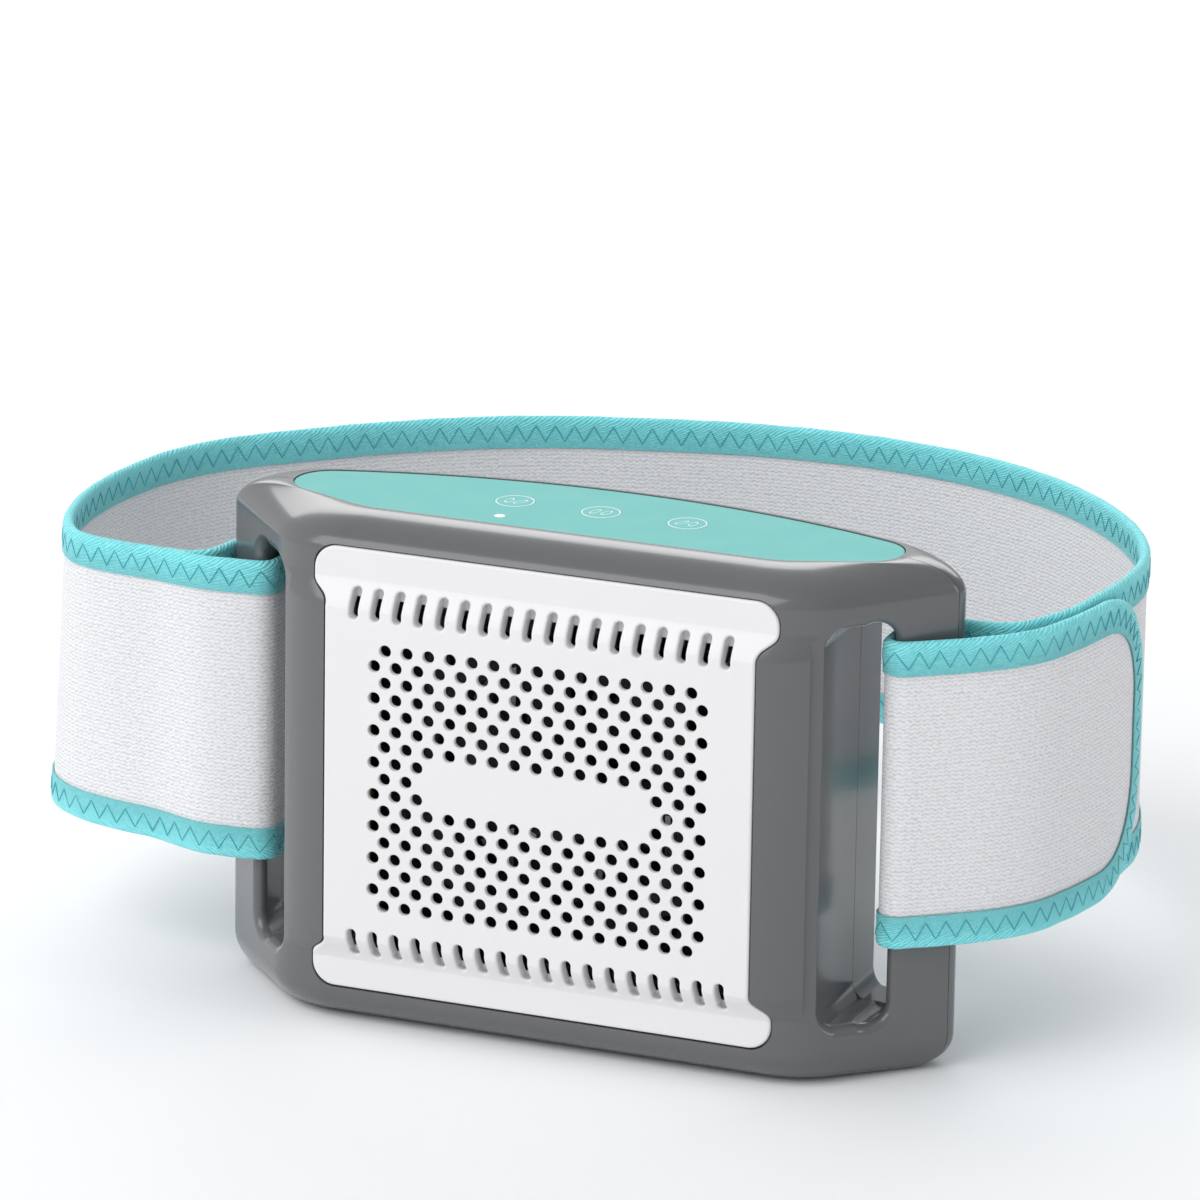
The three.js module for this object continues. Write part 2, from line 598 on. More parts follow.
// Raised bar of the grille in y and z, pushed along x: its front, or with a wall the hollow behind it
function grilleRise(frontY, inset, half) {
  const outerHalf = BAND_OUTER_HALF - inset;
  const innerHalf = BAND_INNER_HALF - inset;
  const profile = new THREE.Shape([
    new THREE.Vector2(GRILLE_BACK_Y + inset, GRILLE_CENTRE_Z - outerHalf),
    new THREE.Vector2(GRILLE_BACK_Y + inset, GRILLE_CENTRE_Z + outerHalf),
    new THREE.Vector2(GRILLE_FLANGE_Y + inset, GRILLE_CENTRE_Z + outerHalf),
    new THREE.Vector2(frontY, GRILLE_CENTRE_Z + innerHalf),
    new THREE.Vector2(frontY, GRILLE_CENTRE_Z - innerHalf),
    new THREE.Vector2(GRILLE_FLANGE_Y + inset, GRILLE_CENTRE_Z - outerHalf),
  ]);
  return prism(profile, -half, half, 'x');
}

function ventHoles() {
  const outline = [];
  for (let side = 0; side < HOLE_SIDES; side += 1) {
    const turn = (side / HOLE_SIDES) * Math.PI * 2;
    outline.push(new THREE.Vector2(HOLE_RADIUS * Math.cos(turn), HOLE_RADIUS * Math.sin(turn)));
  }
  const low = GRILLE_FRONT_Y - CUT_OVERRUN;
  const one = prism(new THREE.Shape(outline), low, GRILLE_BACK_Y, 'y');
  const holes = [];
  const middleRow = (HOLE_ROWS - 1) / 2;
  for (let row = 0; row < HOLE_ROWS; row += 1) {
    const count = LONG_ROW_HOLES - 1 + (row % 2);
    const offMiddle = Math.abs(row - middleRow);
    const blankHalf = offMiddle > 1 ? 0 : BLANK_HALF_LENGTH;
    for (let hole = 0; hole < count; hole += 1) {
      const x = (hole - (count - 1) / 2) * HOLE_PITCH_X;
      if (Math.abs(x) > (offMiddle === 0 ? BLANK_MIDDLE_HALF_LENGTH : blankHalf)) {
        holes.push(one.translate([x, 0, GRILLE_CENTRE_Z + (row - middleRow) * HOLE_PITCH_Z]));
      }
    }
  }
  return wasm.Manifold.union(holes);
}

function ventSlots() {
  const radius = VENT_SLOT_WIDTH / 2;
  const reach = VENT_SLOT_LENGTH / 2 - radius;
  const outline = [];
  for (const [start, side] of [[0, 1], [Math.PI, -1]]) {
    for (const share of [0, 1 / 2, 1]) {
      const turn = start + share * Math.PI;
      outline.push(new THREE.Vector2(radius * Math.cos(turn), side * reach + radius * Math.sin(turn)));
    }
  }
  const floorY = FRONT_FACE_Y - VENT_SLOT_FLOOR;
  const one = prism(new THREE.Shape(outline), GRILLE_FRONT_Y - CUT_OVERRUN, floorY, 'y');
  const slots = [];
  for (let slot = 0; slot < VENT_SLOT_COUNT; slot += 1) {
    const x = (slot - (VENT_SLOT_COUNT - 1) / 2) * HOLE_PITCH_X;
    for (const side of [-1, 1]) {
      slots.push(one.translate([x, 0, GRILLE_CENTRE_Z + side * VENT_SLOT_HALF_SPREAD]));
    }
  }
  return wasm.Manifold.union(slots);
}

function makeGrille() {
  const plate = prism(new THREE.Shape(grilleOutline(0)), GRILLE_FRONT_Y, GRILLE_BACK_Y, 'y');
  const width = GRILLE_WIDE_HALF + CUT_OVERRUN;
  const topEdge = GRILLE_CENTRE_Z + GRILLE_HEIGHT / 2 + CUT_OVERRUN;
  const lowEdge = GRILLE_CENTRE_Z - GRILLE_HEIGHT / 2 - CUT_OVERRUN;
  const flange = block(-width, width, GRILLE_FLANGE_Y, GRILLE_BACK_Y, lowEdge, topEdge);
  const front = joined(flange, grilleRise(GRILLE_FRONT_Y, 0, width));
  const hollowHalf = GRILLE_NARROW_HALF - GRILLE_THICKNESS;
  const hollow = grilleRise(GRILLE_FRONT_Y + GRILLE_THICKNESS, GRILLE_THICKNESS, hollowHalf);
  place('front_grille', without(plate.intersect(front), hollow, ventHoles(), ventSlots()), WHITE_ABS);
}

// Housing shells
// Middle of the round on a bar's inner front edge, and of the one on its inner rear edge
const slantY = (x) => FRONT_FACE_Y + (x - SIDE_START) * SIDE_SLOPE;
const BAR_ROUND_X = SLOT_OUTER_X + BAR_EDGE_RADIUS;
const BAR_FRONT_MIDDLE = new THREE.Vector2(BAR_ROUND_X, slantY(BAR_ROUND_X) + BAR_EDGE_RADIUS / Math.cos(SIDE_ANGLE));
const ARCH_RADIUS = archRadius(bodySizes(0, 0));
const BAR_REAR_MIDDLE = new THREE.Vector2(
  BAR_ROUND_X,
  REAR_CROWN_Y - ARCH_RADIUS + Math.sqrt((ARCH_RADIUS - BAR_EDGE_RADIUS) ** 2 - BAR_ROUND_X ** 2),
);
const ARCH_ANGLE = Math.atan2(BAR_REAR_MIDDLE.y - REAR_CROWN_Y + ARCH_RADIUS, BAR_ROUND_X);

// What is cut away from a bar's sharp edge to round it, over the height of the slot
function edgeCutter(middle, turnFrom, turnTo, side) {
  const shape = new THREE.Shape();
  const far = BAR_EDGE_RADIUS * 3;
  const spot = (turn, reach) => [side * (middle.x + reach * Math.cos(turn)), middle.y + reach * Math.sin(turn)];
  const middleTurn = (turnFrom + turnTo) / 2;
  shape.moveTo(...spot(turnFrom, BAR_EDGE_RADIUS));
  const steps = ARC_STEPS + 1;
  for (let step = 1; step <= steps; step += 1) {
    shape.lineTo(...spot(THREE.MathUtils.lerp(turnFrom, turnTo, step / steps), BAR_EDGE_RADIUS));
  }
  shape.lineTo(...spot(turnTo, far));
  shape.lineTo(...spot(middleTurn, far * 2));
  shape.lineTo(...spot(turnFrom, far));
  return prism(shape, SLOT_LOW_Z, SLOT_HIGH_Z, 'z');
}

function strapSlots() {
  const width = SLOT_OUTER_X - SLOT_INNER_X;
  const middleX = (SLOT_OUTER_X + SLOT_INNER_X) / 2;
  const middleZ = (SLOT_HIGH_Z + SLOT_LOW_Z) / 2;
  const far = BODY_HALF_LENGTH;
  const cut = (side, grow) => prism(roundedShape(side * middleX, middleZ, width + 2 * grow,
    SLOT_HIGH_Z - SLOT_LOW_Z + 2 * grow, SLOT_CORNER_RADIUS + grow), -far, far, 'y');
  const edges = [1, -1].flatMap((side) => [
    edgeCutter(BAR_FRONT_MIDDLE, Math.PI, Math.PI * 3 / 2 + SIDE_ANGLE, side),
    edgeCutter(BAR_REAR_MIDDLE, ARCH_ANGLE, Math.PI, side),
  ]);
  return { open: joined(cut(1, 0), cut(-1, 0), ...edges), walled: joined(cut(1, WALL), cut(-1, WALL)) };
}

const PANEL_TOP_Z = BODY_HEIGHT - PANEL_DROP;
const PANEL_LOW_Z = PANEL_TOP_Z - PANEL_THICKNESS;
const LEDGE_FRONT_Y = GRILLE_BACK_Y + SEAT_GAP;
const LEDGE_REAR_Y = LEDGE_FRONT_Y + LEDGE_THICKNESS;
const SCREW_PLACES = [
  ['left_low', -SHELL_SCREW_X, SHELL_SCREW_LOW_Z],
  ['right_low', SHELL_SCREW_X, SHELL_SCREW_LOW_Z],
  ['left_high', -SHELL_SCREW_X, SHELL_SCREW_HIGH_Z],
  ['right_high', SHELL_SCREW_X, SHELL_SCREW_HIGH_Z],
];

function panelRoom() {
  const seat = prism(new THREE.Shape(flatPlan(PANEL_MARGIN - PANEL_GAP, PANEL_REAR_MARGIN - PANEL_GAP)),
    PANEL_LOW_Z - SEAT_GAP, BODY_HEIGHT + CUT_OVERRUN, 'z');
  const depth = PANEL_WINDOW_REAR_Y - PANEL_WINDOW_FRONT_Y;
  const middle = (PANEL_WINDOW_REAR_Y + PANEL_WINDOW_FRONT_Y) / 2;
  const window = prism(roundedShape(0, middle, 2 * PANEL_WINDOW_HALF, depth, SLOT_CORNER_RADIUS),
    CONTROL_BOARD_TOP_Z, BODY_HEIGHT, 'z');
  return joined(seat, window);
}

function innerSpace(slots) {
  const reach = BODY_HALF_LENGTH;
  const limit = block(-reach, reach, LEDGE_REAR_Y, REAR_CROWN_Y, WALL, PANEL_LOW_Z - SEAT_GAP - PANEL_SEAT_WALL);
  return without(bodyForm(WALL, 0).intersect(limit), slots.walled);
}

function boardGuides() {
  const low = MAIN_BOARD_X - GUIDE_WALL - SEAT_GAP;
  const high = MAIN_BOARD_X + BOARD_THICKNESS + SEAT_GAP + GUIDE_WALL;
  const guides = [GUIDE_LOW_Z, GUIDE_HIGH_Z].map((z) => without(
    block(low, high, LEDGE_FRONT_Y, LEDGE_REAR_Y + GUIDE_DEPTH, z, z + GUIDE_HEIGHT),
    block(MAIN_BOARD_X - SEAT_GAP, MAIN_BOARD_X + BOARD_THICKNESS + SEAT_GAP,
      MAIN_BOARD_FRONT_Y - SEAT_GAP, LEDGE_REAR_Y + GUIDE_DEPTH + CUT_OVERRUN, z - CUT_OVERRUN,
      z + GUIDE_HEIGHT + CUT_OVERRUN),
  ));
  return joined(...guides);
}

function makeFrontShell(body, space, slots) {
  const far = BODY_HALF_LENGTH + CUT_OVERRUN;
  const half = block(-far, far, -far, PARTING_Y - PARTING_GAP / 2, 0, BODY_HEIGHT);
  const bosses = SCREW_PLACES.map(([, x, z]) => rod(SHELL_BOSS_RADIUS, x, z, LEDGE_FRONT_Y, PARTING_Y, 'y'));
  const pilots = SCREW_PLACES.map(([, x, z]) => rod(SCREW_RADIUS + SCREW_HOLE_GAP, x, z,
    SHELL_SCREW_SEAT_Y - SHELL_SCREW_LENGTH - SEAT_GAP, REAR_CROWN_Y, 'y'));
  const pocket = prism(new THREE.Shape(grilleOutline(GRILLE_GAP)), -far, LEDGE_FRONT_Y, 'y');
  const window = prism(roundedShape(0, GRILLE_CENTRE_Z, 2 * WINDOW_HALF_WIDTH, 2 * WINDOW_HALF_HEIGHT,
    GRILLE_CORNER_RADIUS), -far, LEDGE_REAR_Y + CUT_OVERRUN, 'y');
  const hollow = without(body, space, slots.open);
  const inside = joined(...bosses, boardGuides()).intersect(bodyForm(0, 0));
  const solid = joined(hollow, inside).intersect(half);
  place('front_shell', without(solid, pocket, window, panelRoom(), ...pilots), GREY_ABS);
}

const STACK = (() => {
  const wallInner = BEZEL_FACE_Y - WALL;
  const flangeRear = wallInner - SEAL_THICKNESS - 2 * SEAL_GAP;
  const flangeFront = flangeRear - PLATE_FLANGE_THICKNESS;
  const moduleRear = flangeFront - STACK_GAP;
  const moduleFront = moduleRear - MODULE_THICKNESS;
  const sinkRear = moduleFront - STACK_GAP;
  const sinkFront = sinkRear - SINK_BASE;
  const finFront = sinkFront - FIN_HEIGHT;
  const fanRear = finFront - SEAT_GAP;
  const fanFront = fanRear - FAN_DEPTH;
  return { wallInner, flangeRear, flangeFront, moduleRear, moduleFront, sinkRear, sinkFront, finFront,
    fanRear, fanFront };
})();

function makeRearShell(body, space, slots) {
  const far = BODY_HALF_LENGTH + CUT_OVERRUN;
  const half = block(-far, far, PARTING_Y + PARTING_GAP / 2, far, 0, BODY_HEIGHT);
  const bezel = prism(roundedShape(0, PLATE_CENTRE_Z, BEZEL_WIDTH, BEZEL_HEIGHT, BEZEL_CORNER_RADIUS),
    STACK.sinkFront, BEZEL_FACE_Y, 'y');
  const room = prism(roundedShape(0, PLATE_CENTRE_Z, BEZEL_WIDTH - 2 * WALL, BEZEL_HEIGHT - 2 * WALL,
    BEZEL_CORNER_RADIUS - WALL), -far, STACK.wallInner, 'y');
  const opening = prism(roundedShape(0, PLATE_CENTRE_Z, PLATE_WIDTH + 2 * PLATE_GAP,
    PLATE_HEIGHT + 2 * PLATE_GAP, PLATE_CORNER_RADIUS), -far, far, 'y');
  const bosses = SCREW_PLACES.map(([, x, z]) => rod(SHELL_BOSS_RADIUS, x, z, PARTING_Y, REAR_CROWN_Y, 'y'));
  const holes = SCREW_PLACES.map(([, x, z]) => joined(
    rod(SCREW_RADIUS + SCREW_HOLE_GAP, x, z, -REAR_CROWN_Y, REAR_CROWN_Y, 'y'),
    rod(SCREW_HEAD_RADIUS + SCREW_HOLE_GAP, x, z, SHELL_SCREW_SEAT_Y, REAR_CROWN_Y + CUT_OVERRUN, 'y'),
  ));
  const inlet = rod(INLET_NOSE_RADIUS + SCREW_HOLE_GAP, INLET_X, INLET_Y, -CUT_OVERRUN, INLET_HEIGHT, 'z');
  const hollow = without(body, space, slots.open);
  const fitted = joined(hollow, joined(...bosses).intersect(bodyForm(0, 0)), bezel);
  place('rear_shell', without(fitted.intersect(half), room, opening, panelRoom(), inlet, ...holes), GREY_ABS);
}

// Top panel with its keys, lens and posts
const KEY_PLACES = [['key_left', -KEY_PITCH], ['key_middle', 0], ['key_right', KEY_PITCH]];
const POST_PLACES = [
  ['left_front', -POST_X, POST_FRONT_Y],
  ['right_front', POST_X, POST_FRONT_Y],
  ['left_rear', -POST_X, POST_REAR_Y],
  ['right_rear', POST_X, POST_REAR_Y],
];

function makePanel() {
  const plate = prism(new THREE.Shape(flatPlan(PANEL_MARGIN, PANEL_REAR_MARGIN)), PANEL_LOW_Z, PANEL_TOP_Z, 'z');
  const postLow = CONTROL_BOARD_TOP_Z + SEAT_GAP;
  const posts = POST_PLACES.map(([, x, y]) => rod(POST_RADIUS, x, y, postLow, PANEL_TOP_Z - PANEL_GAP, 'z'));
  const pilots = POST_PLACES.map(([, x, y]) => rod(SMALL_SCREW_RADIUS + SCREW_HOLE_GAP, x, y,
    postLow - CUT_OVERRUN, postLow + SMALL_SCREW_LENGTH, 'z'));
  const keyHoles = KEY_PLACES.map(([, x]) => rod(KEY_RADIUS + KEY_GAP, x, KEY_Y, PANEL_LOW_Z - CUT_OVERRUN,
    PANEL_TOP_Z + CUT_OVERRUN, 'z', ROUND_SIDES));
  const lensHole = rod(LENS_RADIUS + LENS_GAP, LENS_X, LENS_Y, PANEL_LOW_Z - CUT_OVERRUN,
    PANEL_TOP_Z + CUT_OVERRUN, 'z');
  place('top_panel', without(joined(plate, ...posts), ...pilots, ...keyHoles, lensHole), TEAL_PANEL);
}

const PLUNGER_TOP_Z = CONTROL_BOARD_TOP_Z + PART_GAP + SWITCH_HEIGHT + SWITCH_SIZE / 4;

function makeKeys() {
  const flangeTop = PANEL_LOW_Z - KEY_REST_GAP;
  const flangeLow = flangeTop - KEY_FLANGE_THICKNESS;
  const stemLow = PLUNGER_TOP_Z + KEY_TRAVEL + SWITCH_CLEARANCE;
  const profile = [
    [0, stemLow],
    [KEY_STEM_RADIUS, stemLow],
    [KEY_STEM_RADIUS, flangeLow],
    [KEY_FLANGE_RADIUS, flangeLow],
    [KEY_FLANGE_RADIUS, flangeTop],
    [KEY_RADIUS, flangeTop],
    [KEY_RADIUS, PANEL_TOP_Z + KEY_PROUD],
    [0, PANEL_TOP_Z + KEY_PROUD],
  ];
  for (const [name, x] of KEY_PLACES) {
    place(name, turned(profile, x, KEY_Y, 'z'), TEAL_PANEL);
  }
}

function makeLens() {
  const lampTop = CONTROL_BOARD_TOP_Z + PART_GAP + LAMP_HEIGHT;
  const flangeTop = PANEL_LOW_Z - LENS_GAP;
  const profile = [
    [0, lampTop + SEAT_GAP],
    [LENS_RADIUS, lampTop + SEAT_GAP],
    [LENS_RADIUS, flangeTop - LENS_FLANGE_THICKNESS],
    [LENS_FLANGE_RADIUS, flangeTop - LENS_FLANGE_THICKNESS],
    [LENS_FLANGE_RADIUS, flangeTop],
    [LENS_RADIUS, flangeTop],
    [LENS_RADIUS, PANEL_TOP_Z],
    [0, PANEL_TOP_Z],
  ];
  place('indicator_lens', turned(profile, LENS_X, LENS_Y, 'z', SMALL_ROUND_SIDES), LENS_CLEAR);
  const half = LAMP_SIZE / 2;
  const low = CONTROL_BOARD_TOP_Z + PART_GAP;
  place('indicator_lamp', block(LENS_X - half, LENS_X + half, LENS_Y - half, LENS_Y + half, low, lampTop), CERAMIC);
}

// A pan-head screw along y or z; headSide is +1 where the head points up the axis
function screw(name, x, across, seat, axis, headSide, radius, headRadius, head, length) {
  const profile = [
    [0, seat - headSide * length],
    [radius, seat - headSide * length],
    [radius, seat],
    [headRadius, seat],
    [headRadius, seat + headSide * head / 2],
    [headRadius * 0.7, seat + headSide * head],
    [0, seat + headSide * head],
  ];
  const ordered = headSide > 0 ? profile : [...profile].reverse();
  place(name, turned(ordered, x, across, axis, SMALL_ROUND_SIDES), STEEL);
}

function makeControlBoard() {
  const top = CONTROL_BOARD_TOP_Z;
  const low = top - BOARD_THICKNESS;
  const board = block(-CONTROL_BOARD_HALF, CONTROL_BOARD_HALF, CONTROL_BOARD_FRONT_Y, CONTROL_BOARD_REAR_Y, low, top);
  const holes = POST_PLACES.map(([, x, y]) => rod(SMALL_SCREW_RADIUS + SCREW_HOLE_GAP, x, y, low - CUT_OVERRUN,
    top + CUT_OVERRUN, 'z'));
  place('control_board', without(board, ...holes), GREEN_BOARD);
  for (const [name, x, y] of POST_PLACES) {
    screw(`board_screw_${name}`, x, y, low - SEAT_GAP, 'z', -1, SMALL_SCREW_RADIUS, SMALL_SCREW_HEAD_RADIUS,
      SMALL_SCREW_HEAD, SMALL_SCREW_LENGTH);
  }
  const half = SWITCH_SIZE / 2;
  const base = top + PART_GAP;
  for (const [name, x] of KEY_PLACES) {
    const body = block(x - half, x + half, KEY_Y - half, KEY_Y + half, base, base + SWITCH_HEIGHT);
    const plunger = rod(PLUNGER_RADIUS, x, KEY_Y, base, PLUNGER_TOP_Z, 'z');
    place(name.replace('key', 'key_switch'), joined(body, plunger), BLACK_PLASTIC);
  }
  const socketLow = low - PART_GAP - RIBBON_SOCKET_HEIGHT;
  place('ribbon_socket', block(RIBBON_SOCKET_X, RIBBON_SOCKET_X + RIBBON_SOCKET_LENGTH, RIBBON_SOCKET_Y,
    RIBBON_SOCKET_Y + RIBBON_SOCKET_WIDTH, socketLow, low - PART_GAP), CERAMIC);
}

// Cooling stack
function makeStack() {
  const centre = (width, height, radius, low, high) => prism(
    roundedShape(0, PLATE_CENTRE_Z, width, height, radius), low, high, 'y');
  const flangeWidth = PLATE_WIDTH + 2 * PLATE_FLANGE;
  const flangeHeight = PLATE_HEIGHT + 2 * PLATE_FLANGE;
  const clamps = [];
  for (const [sideName, side] of [['left', -1], ['right', 1]]) {
    for (const [levelName, level] of [['low', -1], ['high', 1]]) {
      clamps.push([`${sideName}_${levelName}`, side * CLAMP_SCREW_X, PLATE_CENTRE_Z + level * CLAMP_SCREW_HALF_HEIGHT]);
    }
  }
  const clampHoles = (low, high) => joined(...clamps.map(([, x, z]) => rod(SCREW_RADIUS + SCREW_HOLE_GAP, x, z,
    low, high, 'y')));
  const plate = joined(
    centre(PLATE_WIDTH, PLATE_HEIGHT, PLATE_CORNER_RADIUS, STACK.flangeFront, PLATE_FACE_Y),
    centre(flangeWidth, flangeHeight, PLATE_CORNER_RADIUS, STACK.flangeFront, STACK.flangeRear),
  );
  const pocketHalf = SENSOR_SIZE / 2 + PART_GAP;
  const sensorPocket = block(SENSOR_X - pocketHalf, SENSOR_X + pocketHalf, STACK.flangeFront - CUT_OVERRUN,
    STACK.flangeFront + SENSOR_SIZE / 2 + PART_GAP, PLATE_CENTRE_Z - pocketHalf, PLATE_CENTRE_Z + pocketHalf);
  const bite = STACK.flangeFront + CLAMP_SCREW_BITE + SEAT_GAP;
  place('cold_plate', without(plate, clampHoles(STACK.flangeFront - CUT_OVERRUN, bite), sensorPocket), ALUMINIUM);
  const sealRear = STACK.wallInner - SEAL_GAP;
  const seal = without(
    centre(flangeWidth, flangeHeight, PLATE_CORNER_RADIUS, sealRear - SEAL_THICKNESS, sealRear),
    centre(PLATE_WIDTH + 2 * PLATE_GAP, PLATE_HEIGHT + 2 * PLATE_GAP, PLATE_CORNER_RADIUS, STACK.flangeRear, PLATE_FACE_Y),
  );
  place('plate_seal', seal, SEAL_SILICONE);
  const sensorHalf = SENSOR_SIZE / 2;
  place('temperature_sensor', block(SENSOR_X - sensorHalf, SENSOR_X + sensorHalf, STACK.flangeFront - sensorHalf,
    STACK.flangeFront + sensorHalf, PLATE_CENTRE_Z - sensorHalf, PLATE_CENTRE_Z + sensorHalf), BLACK_PLASTIC);
  const half = MODULE_SIZE / 2;
  place('thermoelectric_module', block(-half, half, STACK.moduleFront, STACK.moduleRear, PLATE_CENTRE_Z - half,
    PLATE_CENTRE_Z + half), CERAMIC);
  const hole = half + INSULATION_GAP;
  const leadHalf = MODULE_LEAD_WIDTH / 2;
  const frameFront = STACK.moduleFront;
  const frameRear = STACK.moduleRear;
  const insulation = without(
    centre(INSULATION_WIDTH, INSULATION_HEIGHT, PLATE_CORNER_RADIUS, frameFront, frameRear),
    block(-hole, hole, frameFront - CUT_OVERRUN, frameRear + CUT_OVERRUN, PLATE_CENTRE_Z - hole, PLATE_CENTRE_Z + hole),
    block(-INSULATION_WIDTH, 0, frameFront - CUT_OVERRUN, frameRear + CUT_OVERRUN, PLATE_CENTRE_Z - leadHalf,
      PLATE_CENTRE_Z + leadHalf),
    block(SENSOR_X - pocketHalf, SENSOR_X + pocketHalf, STACK.moduleRear - SENSOR_SIZE, frameRear + CUT_OVERRUN,
      PLATE_CENTRE_Z - pocketHalf, PLATE_CENTRE_Z + pocketHalf),
    clampHoles(frameFront - CUT_OVERRUN, frameRear + CUT_OVERRUN),
  );
  place('insulation_frame', insulation, FOAM);
  makeHeatSink(clamps, clampHoles, centre);
}

function fanCorners() {
  const corners = [];
  for (const [sideName, side] of [['left', -1], ['right', 1]]) {
    for (const [levelName, level] of [['low', -1], ['high', 1]]) {
      corners.push([`${sideName}_${levelName}`, side * FAN_HOLE_SPREAD, PLATE_CENTRE_Z + level * FAN_HOLE_SPREAD]);
    }
  }
  return corners;
}

function makeHeatSink(clamps, clampHoles, centre) {
  const base = centre(SINK_WIDTH, SINK_HEIGHT, BEZEL_CORNER_RADIUS - WALL, STACK.sinkFront, STACK.sinkRear);
  const fins = [];
  for (let fin = 0; fin < FIN_COUNT; fin += 1) {
    const x = (fin - (FIN_COUNT - 1) / 2) * FIN_PITCH;
    fins.push(block(x - FIN_THICKNESS / 2, x + FIN_THICKNESS / 2, STACK.finFront, STACK.sinkFront + SINK_BASE / 2,
      PLATE_CENTRE_Z - SINK_HEIGHT / 2, PLATE_CENTRE_Z + SINK_HEIGHT / 2));
  }
  const posts = fanCorners().map(([, x, z]) => rod(SINK_POST_RADIUS, x, z, STACK.finFront,
    STACK.sinkFront + SINK_BASE / 2, 'y'));
  const fanLength = FAN_DEPTH + SMALL_SCREW_LENGTH;
  const pilots = fanCorners().map(([, x, z]) => rod(SCREW_RADIUS + SCREW_HOLE_GAP, x, z,
    STACK.finFront - CUT_OVERRUN, STACK.finFront + SMALL_SCREW_LENGTH, 'y'));
  const bore = clampHoles(STACK.sinkFront - CUT_OVERRUN, STACK.sinkRear + CUT_OVERRUN);
  place('heat_sink', without(joined(base, ...fins, ...posts), bore, ...pilots), ALUMINIUM);
  const clampLength = STACK.flangeFront + CLAMP_SCREW_BITE - STACK.sinkFront + SEAT_GAP;
  for (const [name, x, z] of clamps) {
    screw(`clamp_screw_${name}`, x, z, STACK.sinkFront - SEAT_GAP, 'y', -1, SCREW_RADIUS, SCREW_HEAD_RADIUS,
      SCREW_HEAD, clampLength);
  }
  for (const [name, x, z] of fanCorners()) {
    screw(`fan_screw_${name}`, x, z, STACK.fanFront + FAN_STRUT_DEPTH - SEAT_GAP, 'y', -1, SCREW_RADIUS,
      SCREW_HEAD_RADIUS, SCREW_HEAD - SEAT_GAP, fanLength - FAN_STRUT_DEPTH);
  }
}

// Fan: frame with motor cup on struts at the rear, rotor with blades in front of it
function makeFan() {
  const outer = prism(roundedShape(0, PLATE_CENTRE_Z, FAN_SIZE, FAN_SIZE, FAN_CORNER_RADIUS), STACK.fanFront,
    STACK.fanRear, 'y');
  const bore = rod(FAN_BORE_RADIUS, 0, PLATE_CENTRE_Z, -BODY_HALF_LENGTH, BODY_HALF_LENGTH, 'y', ROUND_SIDES * 2);
  const motorFront = STACK.fanRear - FAN_DEPTH / 2;
  const struts = [];
  const strutLength = (FAN_SIZE / 2 + FAN_BORE_RADIUS) / 2;
  for (let strut = 0; strut < FAN_STRUT_COUNT; strut += 1) {
    const bar = new THREE.BoxGeometry(strutLength, FAN_STRUT_DEPTH, FAN_STRUT_WIDTH);
    bar.translate(strutLength / 2, STACK.fanRear - FAN_STRUT_DEPTH / 2, 0);
    bar.rotateY((strut / FAN_STRUT_COUNT + 1 / 8) * Math.PI * 2);
    bar.translate(0, 0, PLATE_CENTRE_Z);
    struts.push(toSolid(bar));
  }
  const motor = rod(FAN_MOTOR_RADIUS, 0, PLATE_CENTRE_Z, motorFront, STACK.fanRear, 'y', ROUND_SIDES);
  const shaftBore = rod(FAN_SHAFT_RADIUS + FAN_SHAFT_GAP, 0, PLATE_CENTRE_Z, motorFront - CUT_OVERRUN,
    STACK.fanRear - FAN_STRUT_DEPTH, 'y');
  const holes = fanCorners().map(([, x, z]) => joined(
    rod(SCREW_RADIUS + SCREW_HOLE_GAP, x, z, STACK.fanFront - CUT_OVERRUN, STACK.fanRear + CUT_OVERRUN, 'y'),
    rod(SCREW_HEAD_RADIUS + SCREW_HOLE_GAP, x, z, STACK.fanFront - CUT_OVERRUN, STACK.fanFront + FAN_STRUT_DEPTH, 'y'),
  ));
  const frame = joined(without(outer, bore), motor, ...struts);
  place('fan_frame', without(frame, shaftBore, ...holes), BLACK_PLASTIC);
  makeRotor(motorFront);
}

